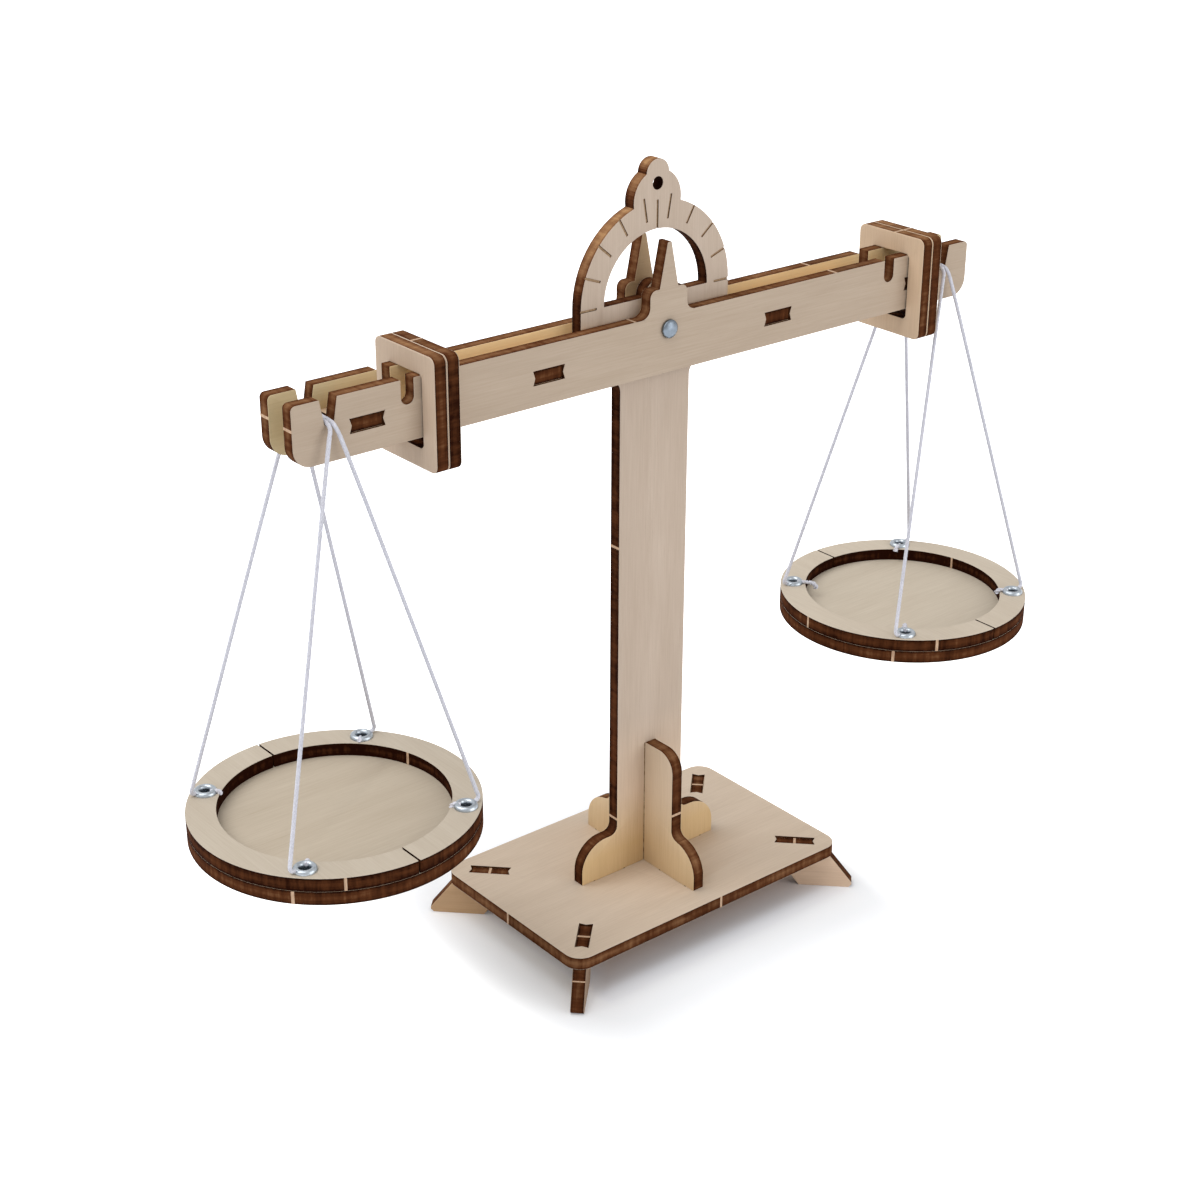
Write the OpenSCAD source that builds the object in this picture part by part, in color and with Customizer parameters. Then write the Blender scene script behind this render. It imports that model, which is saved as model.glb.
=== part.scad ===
// Wooden balance scale toy, laser cut from one thickness of plywood.
// +X runs along the beam to the right, -Y is the front, +Z is up.
// The origin is on the table, midway between the feet.

/* [Board] */
// Thickness of the plywood
ply_t = 3; // [2.6:0.1:3.4]
// Clearance on each side of a tab in its slot
tab_gap = 0.05; // [0.02:0.01:0.15]
// How far a tab end stays below the face it comes through
tab_recess = 0.4; // [0.1:0.1:1]
// Length of the slots in the base
slot_len = 9.5; // [7:0.5:11]
// Height of the V nib in each end of a slot
slot_nib = 0.5; // [0.2:0.1:1]

/* [Base] */
// Length of the base plate
base_len = 79.4; // [70:0.2:100]
// Depth of the base plate
base_dep = 49.2; // [46:0.2:70]
// Corner radius of the base plate
base_r = 4; // [1:0.5:8]
// Distance of a foot slot's middle from the short edge
foot_inset_x = 7.7; // [6:0.1:12]
// Distance of a foot slot's middle from the long edge
foot_inset_y = 7.3; // [6:0.1:10]

/* [Foot] */
// Height of a foot below the base plate
foot_drop = 8.3; // [5:0.1:14]
// Reach of the foot's shoulder from its slot's middle
foot_shoulder = 8.5; // [7:0.1:10]
// Reach of the foot's toe from its slot's middle
foot_toe = 13.9; // [11:0.1:18]
// Reach of the foot's heel from its slot's middle
foot_heel = 1.4; // [0:0.1:5]
// Height of the upright end of the toe
toe_h = 1.3; // [0.8:0.1:3]
// Cut corner below the toe
toe_cut = 0.7; // [0.2:0.1:1.2]

/* [Column] */
// Width of the column
col_w = 19; // [14:0.5:20]
// Height of the pivot above the base plate
pivot_h = 129.4; // [110:0.2:150]
// Distance of a tab's middle from the column's centre
tab_reach = 11.7; // [11:0.1:13]
// Width of the column's flared foot
flare_w = 39.4; // [36:0.2:46]
// Height of the flared foot
flare_h = 10; // [8:0.5:14]
// Radius of the flared foot's shoulder
flare_r = 7; // [4:0.5:7.5]
// Radius between the upright edge and the flared foot
flare_fillet = 2; // [0.5:0.25:2.5]
// Height of the half lap between column and rib
lap_h = 15.5; // [12:0.5:20]

/* [Rib] */
// Depth of the rib from front to back
rib_d = 22; // [16:0.5:22.5]
// Height of the rib above the base plate
rib_h = 31; // [26:0.5:45]
// Corner radius at the top of the rib
rib_r = 4.5; // [2:0.5:8]
// Depth of the rib's flared foot
rib_flare_w = 38; // [35:0.2:42]

/* [Arch] */
// Outer radius of the scale arch
arch_r = 20; // [18:0.5:21]
// Inner radius of the scale arch
arch_in = 14; // [10:0.5:15]
// Height of the arch centre above the pivot
arch_up = 6.2; // [5:0.1:9]
// Radius of the round hump on the arch's sill
hump_r = 3.1; // [2:0.1:5]
// Depth of the head below the pivot
head_drop = 10; // [8:0.5:12]
// Corner radius below the head
head_r = 8; // [4:0.5:10]
// Radius between the column and the head
head_fillet = 3; // [1:0.5:5]
// Length of a scale mark
mark_len = 4.1; // [2:0.1:5]
// Width of a scale mark
mark_w = 0.5; // [0.3:0.1:0.8]
// Depth of a scale mark
mark_deep = 0.3; // [0.1:0.1:0.6]
// Radius of the knob's round shoulder
knob_r = 6.3; // [4:0.1:8]
// Radius of the knob's top
knob_top_r = 3; // [2:0.1:4]
// Height of the knob's top centre above the arch centre
knob_top_up = 25.4; // [24:0.1:27]
// Radius of the hole in the knob
knob_hole_r = 1.6; // [1:0.1:2]
// Height of the hole above the arch centre
knob_hole_up = 23.4; // [22:0.1:24.5]

/* [Beam] */
// Length of the beam
beam_len = 182; // [176:1:200]
// Height of the beam above the pivot
beam_up = 3; // [2.5:0.1:4]
// Depth of the beam below the pivot
beam_down = 9.5; // [8:0.1:11]
// Gap between the two beam plates
beam_gap = 5; // [4.4:0.1:6]
// Radius of the beam's lower outer corners
beam_r = 4; // [2:0.5:6]
// Radius of the hook's upper corner
hook_r = 1; // [0.5:0.1:2]
// Distance of the hang notch from the beam's end
hang_end = 8.1; // [8:0.1:9]
// Depth of the strings' axis below the pivot
hang_drop = 1.35; // [0.8:0.05:2]
// Radius of the hang notch's floor
notch_r = 1.15; // [1.05:0.05:1.4]
// Width of the hang notch at the top
notch_top = 3.9; // [3:0.1:5]
// Distance of the trim notch from the beam's end
trim_end = 25.7; // [25:0.1:31]
// Width of the trim notch
trim_w = 3; // [2:0.1:4]
// Depth of the trim notch
trim_deep = 5.1; // [3:0.1:6]

/* [Pointer] */
// Height of the pointer's tip above the pivot
tip_up = 18.3; // [14:0.1:19]
// Width of the pointer's tip
tip_w = 1; // [0.6:0.1:1.6]
// Width of the pointer at its root
root_w = 5; // [3:0.1:6]
// Width of the shoulders below the pointer
shoulder_w = 10; // [8:0.1:12]
// Height of the shoulders above the pivot
shoulder_up = 8.7; // [6:0.1:10]
// Radius of the shoulders
shoulder_r = 1.6; // [0.5:0.1:2.5]
// Radius between shoulders and beam
shoulder_fillet = 2.2; // [1:0.1:3]

/* [Spacers] */
// Distance of the inner spacers from the pivot
spacer_in = 31.3; // [29:0.1:40]
// Distance of the outer spacers from the beam's end
spacer_end = 16.5; // [16:0.1:17.5]
// Depth of the spacers' middle below the pivot
spacer_drop = 3.5; // [3:0.1:6]
// Length of a spacer slot in the beam
spacer_slot = 8; // [6:0.1:9]
// Width of a spacer between the plates
spacer_w = 11.5; // [9:0.1:13]

/* [Pivot] */
// Radius of the pivot pin
pin_r = 1.25; // [1:0.05:1.5]
// Running clearance around the pin
pin_gap = 0.05; // [0.02:0.01:0.1]
// Radius of the pin's head and cap
pin_head_r = 2; // [1.8:0.1:3]
// Height of the head and cap
pin_head_h = 1.1; // [0.8:0.1:1.5]
// Gap between the head and the beam
pin_side_gap = 0.2; // [0.1:0.05:0.4]

/* [Rider] */
// Width of a rider plate
rider_w = 19.8; // [19.8:0.1:24]
// Height of a rider plate
rider_h = 23.4; // [21:0.1:25]
// Width of the bar around a rider's window
rider_bar = 4.25; // [3.5:0.05:4.3]
// Corner radius of a rider plate
rider_r = 1.6; // [0.5:0.1:3]
// Gap between a rider and the beam's top edge
rider_gap = 0.1; // [0.05:0.05:0.3]
// Distance of the left rider's middle from the beam's end
rider_left_end = 31.8; // [30:0.1:41]
// Distance of the right rider's middle from the beam's end
rider_right_end = 16.7; // [16.6:0.1:21]

/* [Pan] */
// Radius of a pan
pan_r = 30; // [29:0.1:34]
// Width of the pan's rim
rim_w = 6.2; // [5.8:0.1:6.4]
// Gap between the two halves of a rim
rim_split = 0.2; // [0.1:0.05:0.5]
// Height from the rim's top to the strings' axis
pan_drop = 83; // [83:0.1:83]
// Distance of an eyelet's middle from the pan's edge
eyelet_inset = 3.13; // [3:0.01:3.3]

/* [Eyelet] */
// Radius of an eyelet's flange
flange_r = 2.5; // [2.3:0.05:2.6]
// Height of an eyelet's flange
flange_h = 0.9; // [0.8:0.05:1]
// Outer radius of an eyelet's barrel
barrel_r = 1.5; // [1.3:0.05:1.7]
// Radius of an eyelet's bore
bore_r = 1.1; // [0.8:0.05:1.2]

/* [String] */
// Diameter of the string
cord_d = 0.9; // [0.7:0.05:0.95]

/* [Hidden] */

$fn = 64;
wood = "burlywood";
metal = "silver";
cut = 1;
base_top = foot_drop + ply_t;
pivot_z = base_top + pivot_h;
foot_x = base_len / 2 - foot_inset_x;
foot_y = base_dep / 2 - foot_inset_y;
slot_w = ply_t + 2 * tab_gap;
tab_len = slot_len - 2 * slot_nib - 2 * tab_gap;
tab_deep = ply_t - tab_recess;
head_z = pivot_h - head_drop;
arch_z = pivot_h + arch_up;
beam_out = beam_gap / 2 + ply_t;
hang_reach = beam_len / 2 - hang_end;
trim_reach = beam_len / 2 - trim_end;
spacer_out = beam_len / 2 - spacer_end;
rider_left = beam_len / 2 - rider_left_end;
rider_right = beam_len / 2 - rider_right_end;
eyelet_reach = (pan_r - eyelet_inset) / sqrt(2);
notch_z = beam_up + hang_drop;
spacer_tab = spacer_slot - 2 * slot_nib - 2 * tab_gap;
window_w = rider_w - 2 * rider_bar;
rim_z = pivot_z - hang_drop - pan_drop;
mark_angles = [0, 20, 40, 60, 80, 100, 120, 140, 160, 180];
eyelet_steps = 10;
cord_sides = 8;

// Route of the outer string on a pan, from the front eyelet to the hang notch,
// measured from the middle of the hang notch
half_route = [[-21.2, -19, -82.5], [-21.9, -18.95, -82.3], [-22.2, -18.85, -81.6],
    [-22, -18.7, -80.8], [-1.1, -7.05, -2.6], [-0.75, -6.85, -1.6], [-0.55, -6.3, -0.8],
    [-0.5, -5.55, -0.4]];
half_count = len(half_route);
route = [for (i = [0:2 * half_count - 1])
    i < half_count ? half_route[i] : flip_y(half_route[2 * half_count - 1 - i])];

function flip_y(p) = [p[0], -p[1], p[2]];
function unit(v) = v / norm(v);

// Direction of a route at one of its points
function heading(path, i) =
    let (last = len(path) - 1, a = max(i, 1), b = min(i, last - 1))
    unit(unit(path[a] - path[a - 1]) + unit(path[b + 1] - path[b]));

// One ring of points around a route
function ring(path, i, r) =
    let (t = heading(path, i), u = unit(cross(t, [1, 0, 1])), v = cross(t, u))
    [for (k = [0:cord_sides - 1])
        path[i] + r * (cos(360 * k / cord_sides) * u + sin(360 * k / cord_sides) * v)];

// A tube swept along a route as one closed solid
module tube(path, r) {
    n = cord_sides;
    last = len(path) - 1;
    points = [for (i = [0:last]) each ring(path, i, r)];
    sides = [for (i = [0:last - 1], k = [0:n - 1]) each [
        [i * n + k, (i + 1) * n + k, (i + 1) * n + (k + 1) % n],
        [i * n + k, (i + 1) * n + (k + 1) % n, i * n + (k + 1) % n]]];
    start = [for (k = [1:n - 2]) [0, k, k + 1]];
    end = [for (k = [1:n - 2]) [last * n, last * n + k + 1, last * n + k]];
    polyhedron(points, concat(sides, start, end));
}

// An outline in X and Z made a board that ends at this Y
module board(y_back) {
    translate([0, y_back, 0]) rotate([90, 0, 0]) linear_extrude(ply_t) children();
}

// An outline in Y and Z made a board that starts at this X
module cross_board(x_front) {
    translate([x_front, 0, 0]) rotate([90, 0, 90]) linear_extrude(ply_t) children();
}

// A slot outline with a V nib in each end
module slot(length, width) {
    polygon([[-length / 2, -width / 2], [length / 2, -width / 2],
        [length / 2 - slot_nib, 0], [length / 2, width / 2],
        [-length / 2, width / 2], [slot_nib - length / 2, 0]]);
}

// A rectangle about the origin with round corners
module round_rect(w, h, r) {
    square([w, h - 2 * r], center = true);
    square([w - 2 * r, h], center = true);
    for (x = [-1, 1], y = [-1, 1])
        translate([x * (w / 2 - r), y * (h / 2 - r)]) circle(r);
}

// The filling of a hollow corner at the origin, let into both edges by the overrun
module fillet(r) {
    difference() {
        translate([-cut, -cut]) square(r + cut);
        translate([r, r]) circle(r);
    }
}

// Both halves of a flared foot on a board of this half width
module flared_foot(half, reach) {
    for (side = [0, 1]) mirror([side, 0]) {
        square([reach, flare_h - flare_r]);
        square([reach - flare_r, flare_h]);
        translate([reach - flare_r, flare_h - flare_r]) intersection() {
            circle(flare_r);
            square(flare_r);
        }
        translate([half, flare_h]) fillet(flare_fillet);
        translate([tab_reach - tab_len / 2, -tab_deep]) square([tab_len, tab_deep + flare_h / 2]);
    }
}

module base_plate() {
    color(wood) translate([0, 0, foot_drop]) linear_extrude(ply_t) difference() {
        round_rect(base_len, base_dep, base_r);
        for (x = [-1, 1], y = [-1, 1])
            translate([x * foot_x, y * foot_y]) rotate(x * y * 45) slot(slot_len, slot_w);
        for (turn = [0:90:270])
            rotate(turn) translate([tab_reach, 0]) slot(slot_len, slot_w);
    }
}

module foot(x, y) {
    color(wood) translate([x * foot_x, y * foot_y, foot_drop])
        rotate([0, 0, atan2(y, x)]) board(ply_t / 2) {
            polygon([[-slot_len / 2, 0], [-tab_len / 2, 0], [-tab_len / 2, tab_deep],
                [tab_len / 2, tab_deep], [tab_len / 2, 0], [foot_shoulder, 0],
                [foot_toe, toe_h - foot_drop], [foot_toe, toe_cut - foot_drop],
                [foot_toe - toe_cut, -foot_drop], [foot_heel, -foot_drop]]);
        }
}

// The head that carries the arch and its knob
module head_outline() {
    translate([-arch_r, head_z + head_r]) square([2 * arch_r, arch_z - head_z - head_r]);
    translate([head_r - arch_r, head_z]) square([2 * (arch_r - head_r), head_r]);
    for (side = [0, 1]) mirror([side, 0]) {
        translate([arch_r - head_r, head_z + head_r]) circle(head_r);
        translate([col_w / 2, head_z]) mirror([0, 1]) fillet(head_fillet);
    }
    translate([0, arch_z]) circle(arch_r);
    translate([0, arch_z + arch_r]) circle(knob_r);
    translate([0, arch_z + knob_top_up]) circle(knob_top_r);
}

// A line cut into the front of the arch along this radius
module scale_mark(angle, inner, outer) {
    translate([0, mark_deep - ply_t / 2, base_top + arch_z]) rotate([90, -angle, 0])
        translate([inner, -mark_w / 2, 0]) cube([outer - inner, mark_w, mark_deep + cut]);
}

module column_board() {
    color(wood) difference() {
        translate([0, 0, base_top]) board(ply_t / 2) difference() {
            union() {
                translate([-col_w / 2, 0]) square([col_w, head_z + head_r]);
                flared_foot(col_w / 2, flare_w / 2);
                head_outline();
            }
            translate([0, arch_z]) difference() {
                circle(arch_in);
                translate([-arch_in, -arch_in]) square([2 * arch_in, arch_in]);
                circle(hump_r);
            }
            translate([0, pivot_h]) circle(pin_r);
            translate([0, arch_z + knob_hole_up]) circle(knob_hole_r);
            translate([-slot_w / 2, -ply_t]) square([slot_w, ply_t + lap_h + tab_gap]);
        }
        for (angle = mark_angles) scale_mark(angle, arch_r - mark_len, arch_r + cut);
        scale_mark(90, arch_in - cut, arch_r);
    }
}

module column_rib() {
    color(wood) translate([0, 0, base_top]) cross_board(-ply_t / 2) difference() {
        union() {
            translate([0, rib_h / 2]) round_rect(rib_d, rib_h, rib_r);
            flared_foot(rib_d / 2, rib_flare_w / 2);
        }
        translate([-slot_w / 2, lap_h]) square([slot_w, rib_h]);
    }
}

// A low dome of this radius and height, on the plane z = 0
module dome(r, h) {
    ball_r = (r * r + h * h) / (2 * h);
    intersection() {
        translate([0, 0, h - ball_r]) sphere(ball_r);
        cylinder(r = r, h = h);
    }
}

module pivot_pin() {
    head_y = beam_out + pin_side_gap;
    color(metal) translate([0, -head_y, pivot_z]) {
        rotate([90, 0, 0]) dome(pin_head_r, pin_head_h);
        rotate([-90, 0, 0]) cylinder(r = pin_r, h = 2 * head_y + pin_head_h / 2);
    }
}

module pivot_cap() {
    color(metal) translate([0, beam_out + pin_side_gap, pivot_z]) rotate([-90, 0, 0]) difference() {
        dome(pin_head_r, pin_head_h);
        translate([0, 0, -cut]) cylinder(r = pin_r, h = cut + pin_head_h / 2);
    }
}

// The pointer and its shoulders, above the beam's top edge
module pointer_outline() {
    shoulder_h = shoulder_up - beam_up;
    flank = (root_w - tip_w) / 2 / (tip_up - shoulder_up);
    root = root_w / 2 + flank * cut;
    polygon([[-root, shoulder_up - cut], [root, shoulder_up - cut],
        [tip_w / 2, tip_up], [-tip_w / 2, tip_up]]);
    translate([0, shoulder_up - shoulder_h]) round_rect(shoulder_w, 2 * shoulder_h, shoulder_r);
    for (side = [0, 1]) mirror([side, 0])
        translate([shoulder_w / 2, beam_up]) fillet(shoulder_fillet);
}

// The notch that the strings lie in, open at the beam's top edge
module hang_notch() {
    translate([hang_reach, -hang_drop]) {
        circle(notch_r);
        polygon([[-notch_r, 0], [notch_r, 0], [notch_top / 2, notch_z], [notch_top / 2, notch_z + cut],
            [-notch_top / 2, notch_z + cut], [-notch_top / 2, notch_z]]);
    }
}

// The round-bottomed notch for trimming the balance
module trim_notch() {
    translate([trim_reach, beam_up - trim_deep + trim_w / 2]) {
        circle(trim_w / 2);
        translate([-trim_w / 2, 0]) square([trim_w, trim_deep + cut]);
    }
}

module beam_outline() {
    difference() {
        union() {
            translate([-beam_len / 2, beam_r - beam_down])
                square([beam_len, beam_up + beam_down - beam_r - hook_r]);
            translate([beam_r - beam_len / 2, -beam_down])
                square([beam_len - 2 * beam_r, beam_up + beam_down]);
            translate([hook_r - beam_len / 2, 0]) square([beam_len - 2 * hook_r, beam_up]);
            for (side = [-1, 1]) {
                translate([side * (beam_len / 2 - beam_r), beam_r - beam_down]) circle(beam_r);
                translate([side * (beam_len / 2 - hook_r), beam_up - hook_r]) circle(hook_r);
            }
            pointer_outline();
        }
        for (side = [0, 1]) mirror([side, 0]) {
            hang_notch();
            trim_notch();
            for (reach = [spacer_in, spacer_out])
                translate([reach, -spacer_drop]) slot(spacer_slot, slot_w);
        }
        circle(pin_r + pin_gap);
    }
}

module beam_plate(y_back) {
    color(wood) translate([0, 0, pivot_z]) board(y_back) beam_outline();
}

module spacer(x) {
    span = beam_gap + 2 * ply_t - 2 * tab_recess;
    color(wood) translate([x, 0, pivot_z - spacer_drop - ply_t / 2]) linear_extrude(ply_t) {
        square([spacer_w, beam_gap], center = true);
        square([spacer_tab, span], center = true);
    }
}

// A rider plate that starts at this X and hangs on the beam's top edge
module rider_plate(x) {
    top = pivot_z + beam_up + rider_gap + rider_bar;
    color(wood) translate([0, 0, top - rider_h / 2]) cross_board(x) difference() {
        round_rect(rider_w, rider_h, rider_r);
        square([window_w, rider_h - 2 * rider_bar], center = true);
    }
}

// The four eyelet places of a pan
module at_eyelets() {
    for (x = [-1, 1], y = [-1, 1])
        translate([x * eyelet_reach, y * eyelet_reach]) children();
}

module pan_disc(side) {
    color(wood) translate([side * hang_reach, 0, rim_z - 2 * ply_t]) linear_extrude(ply_t)
        difference() {
            circle(pan_r, $fn = 96);
            at_eyelets() circle(barrel_r);
        }
}

// One half of a rim: half is 1 for the half at larger X
module pan_rim(side, half) {
    color(wood) translate([side * hang_reach, 0, rim_z - ply_t]) linear_extrude(ply_t)
        difference() {
            circle(pan_r, $fn = 96);
            circle(pan_r - rim_w, $fn = 96);
            translate([half > 0 ? rim_split / 2 - 2 * pan_r : -rim_split / 2, -pan_r - cut])
                square([2 * pan_r, 2 * (pan_r + cut)]);
            at_eyelets() circle(barrel_r);
        }
}

// A rolled flange about Z, standing on the plane z = 0
module flange(height) {
    middle = (bore_r + flange_r) / 2;
    rotate_extrude() polygon([for (i = [0:eyelet_steps])
        let (angle = 180 * i / eyelet_steps)
        [middle + (flange_r - middle) * cos(angle), height * sin(angle)]]);
}

module eyelet(side, x, y) {
    color(metal) translate([side * hang_reach + x * eyelet_reach, y * eyelet_reach, rim_z]) {
        flange(flange_h);
        translate([0, 0, -2 * ply_t]) {
            mirror([0, 0, 1]) flange(flange_h / 2);
            difference() {
                cylinder(r = barrel_r, h = 2 * ply_t);
                translate([0, 0, -cut]) cylinder(r = bore_r, h = 2 * (ply_t + cut));
            }
        }
    }
}

// A string over both hang notches: away is -1 for the string at smaller X
module pan_string(side, away) {
    color("whitesmoke") translate([side * hang_reach, 0, pivot_z - hang_drop])
        mirror([away > 0 ? 1 : 0, 0, 0]) tube(route, cord_d / 2);
}

base_plate();
foot(-1, -1);  // foot_front_left
foot(1, -1);  // foot_front_right
foot(-1, 1);  // foot_back_left
foot(1, 1);  // foot_back_right
column_board();
column_rib();
pivot_pin();
pivot_cap();
beam_plate(-beam_gap / 2);  // beam_front_plate
beam_plate(beam_out);  // beam_back_plate
spacer(-spacer_out);  // spacer_left_outer
spacer(-spacer_in);  // spacer_left_inner
spacer(spacer_in);  // spacer_right_inner
spacer(spacer_out);  // spacer_right_outer
rider_plate(-rider_left - ply_t);  // rider_left_outer_plate
rider_plate(-rider_left);  // rider_left_inner_plate
rider_plate(rider_right);  // rider_right_outer_plate
rider_plate(rider_right - ply_t);  // rider_right_inner_plate
pan_disc(-1);  // left_pan_disc
pan_rim(-1, -1);  // left_pan_rim_outer
pan_rim(-1, 1);  // left_pan_rim_inner
pan_disc(1);  // right_pan_disc
pan_rim(1, 1);  // right_pan_rim_outer
pan_rim(1, -1);  // right_pan_rim_inner
eyelet(-1, -1, -1);  // left_eyelet_front_outer
eyelet(-1, -1, 1);  // left_eyelet_back_outer
eyelet(-1, 1, -1);  // left_eyelet_front_inner
eyelet(-1, 1, 1);  // left_eyelet_back_inner
eyelet(1, 1, -1);  // right_eyelet_front_outer
eyelet(1, 1, 1);  // right_eyelet_back_outer
eyelet(1, -1, -1);  // right_eyelet_front_inner
eyelet(1, -1, 1);  // right_eyelet_back_inner
pan_string(-1, -1);  // left_string_outer
pan_string(-1, 1);  // left_string_inner
pan_string(1, 1);  // right_string_outer
pan_string(1, -1);  // right_string_inner
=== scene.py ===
import math
import random
import bpy
from mathutils import Matrix, Vector


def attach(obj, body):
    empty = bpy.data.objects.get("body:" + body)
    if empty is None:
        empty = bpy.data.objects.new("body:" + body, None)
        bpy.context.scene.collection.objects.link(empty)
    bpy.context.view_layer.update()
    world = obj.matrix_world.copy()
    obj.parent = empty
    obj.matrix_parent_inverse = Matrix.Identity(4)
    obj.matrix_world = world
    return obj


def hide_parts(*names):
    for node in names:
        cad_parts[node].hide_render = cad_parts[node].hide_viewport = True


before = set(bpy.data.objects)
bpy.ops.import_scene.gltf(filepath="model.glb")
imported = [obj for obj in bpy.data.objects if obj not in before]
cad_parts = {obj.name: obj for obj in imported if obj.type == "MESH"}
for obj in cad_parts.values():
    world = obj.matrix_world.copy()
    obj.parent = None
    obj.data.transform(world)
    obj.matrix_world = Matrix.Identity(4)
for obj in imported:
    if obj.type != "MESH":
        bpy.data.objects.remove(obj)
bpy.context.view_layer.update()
print("frame loaded:", len(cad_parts), "nodes")


# camera, measured from the photograph in its own pixels

view = {
    "azimuth": -39.133, "elevation": 24.772, "roll": 0.125,  # degrees
    "target": (-0.015137, 0, 0.081336), "distance": 0.46241,  # metres
    "focal": 2140.08, "middle": (594.48, 599.70), "picture": 1200,  # pixels
    "sensor": 36, "clip": (0.01, 20),  # millimetres, metres
}


def placeCamera():
    turn, rise, roll = (math.radians(view[key]) for key in ("azimuth", "elevation", "roll"))
    back = Vector((math.sin(turn) * math.cos(rise), -math.cos(turn) * math.cos(rise), math.sin(rise)))
    side = Vector((math.cos(turn), math.sin(turn), 0))
    top = back.cross(side)
    right = math.cos(roll) * side + math.sin(roll) * top
    up = math.cos(roll) * top - math.sin(roll) * side
    bpy.ops.object.camera_add()
    camera = bpy.context.object
    camera.name = "photoCamera"
    turned = Matrix((right, up, back)).transposed().to_4x4()
    camera.matrix_world = Matrix.Translation(Vector(view["target"]) + back * view["distance"]) @ turned
    lens = camera.data
    lens.sensor_width = view["sensor"]
    lens.lens = view["focal"] * lens.sensor_width / view["picture"]
    lens.shift_x = 0.5 - view["middle"][0] / view["picture"]
    lens.shift_y = view["middle"][1] / view["picture"] - 0.5
    lens.clip_start, lens.clip_end = view["clip"]
    bpy.context.scene.camera = camera


placeCamera()
print("camera placed")


# small helpers

def clearSelection():
    if bpy.context.mode != "OBJECT":
        bpy.ops.object.mode_set(mode="OBJECT")
    bpy.ops.object.select_all(action="DESELECT")


def takeUp(piece):
    clearSelection()
    piece.select_set(True)
    bpy.context.view_layer.objects.active = piece


def meshPiece(name, points, faces, edges=()):
    mesh = bpy.data.meshes.new(name)
    mesh.from_pydata([tuple(p) for p in points], edges, faces)
    piece = bpy.data.objects.new(name, mesh)
    bpy.context.scene.collection.objects.link(piece)
    return piece


def copyMesh(piece, name):
    twin = bpy.data.objects.new(name, piece.data.copy())
    twin.data.name = name
    bpy.context.scene.collection.objects.link(twin)
    return twin


def camelName(node):
    first, *rest = node.split("_")
    return first + "".join(word.capitalize() for word in rest)


# materials

def startMaterial(name):
    material = bpy.data.materials.new(name)
    material.use_nodes = True
    nodes = material.node_tree.nodes
    return material, nodes, material.node_tree.links, nodes["Principled BSDF"]


def noiseOf(nodes, links, source, scale, detail, distortion=0):
    mapping = nodes.new("ShaderNodeMapping")
    mapping.inputs["Scale"].default_value = scale
    links.new(source, mapping.inputs["Vector"])
    texture = nodes.new("ShaderNodeTexNoise")
    texture.inputs["Scale"].default_value = 1
    texture.inputs["Detail"].default_value = detail
    texture.inputs["Distortion"].default_value = distortion
    links.new(mapping.outputs["Vector"], texture.inputs["Vector"])
    return texture.outputs["Fac"]


def ramp(nodes, links, source, stops):
    blend = nodes.new("ShaderNodeValToRGB")
    links.new(source, blend.inputs["Fac"])
    while len(blend.color_ramp.elements) < len(stops):
        blend.color_ramp.elements.new(0.5)
    for element, (place, color) in zip(blend.color_ramp.elements, stops):
        element.position = place
        element.color = (*color, 1) if isinstance(color, tuple) else (color, color, color, 1)
    return blend.outputs["Color"]


def math2(nodes, links, kind, first, second):
    step = nodes.new("ShaderNodeMath")
    step.operation = kind
    for socket, value in zip(step.inputs, (first, second)):
        if isinstance(value, (int, float)):
            socket.default_value = value
        else:
            links.new(value, socket)
    return step.outputs["Value"]


def total(nodes, links, first, *rest):
    for value in rest:
        first = math2(nodes, links, "ADD", first, value)
    return first


def share(nodes, links, source, part):
    return math2(nodes, links, "MULTIPLY", source, part)


def between(nodes, links, source, start, end):  # 0 at start, rising to 1 at end
    span = nodes.new("ShaderNodeMapRange")
    span.inputs["From Min"].default_value, span.inputs["From Max"].default_value = start, end
    links.new(source, span.inputs["Value"])
    return span.outputs["Result"]


def mixColors(nodes, links, kind, factor, first, second):
    mix = nodes.new("ShaderNodeMix")
    mix.data_type = "RGBA"
    mix.blend_type = kind
    for socket, value in ((mix.inputs["Factor"], factor), (mix.inputs["A"], first), (mix.inputs["B"], second)):
        if isinstance(value, (int, float)):
            socket.default_value = value
        elif isinstance(value, tuple):
            socket.default_value = (*value, 1)
        else:
            links.new(value, socket)
    return mix.outputs["Result"]


def objectPlace(nodes):
    return nodes.new("ShaderNodeTexCoord").outputs["Object"]


def splitPlace(nodes, links, source):
    parts = nodes.new("ShaderNodeSeparateXYZ")
    links.new(source, parts.inputs["Vector"])
    return parts.outputs


def readBoard(nodes, name):  # one of the values that writeValues gives each board
    value = nodes.new("ShaderNodeAttribute")
    value.attribute_name = name
    return value.outputs


def setSurface(nodes, links, shader, plan, height):  # how rough and shiny it is, and how its pattern stands out
    for socket, value in plan["surface"].items():
        shader.inputs[socket].default_value = value
    if "bump" in plan:
        bump = nodes.new("ShaderNodeBump")
        bump.inputs["Distance"].default_value, bump.inputs["Strength"].default_value = plan["bump"]
        links.new(height, bump.inputs["Height"])
        links.new(bump.outputs["Normal"], shader.inputs["Normal"])


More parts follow.
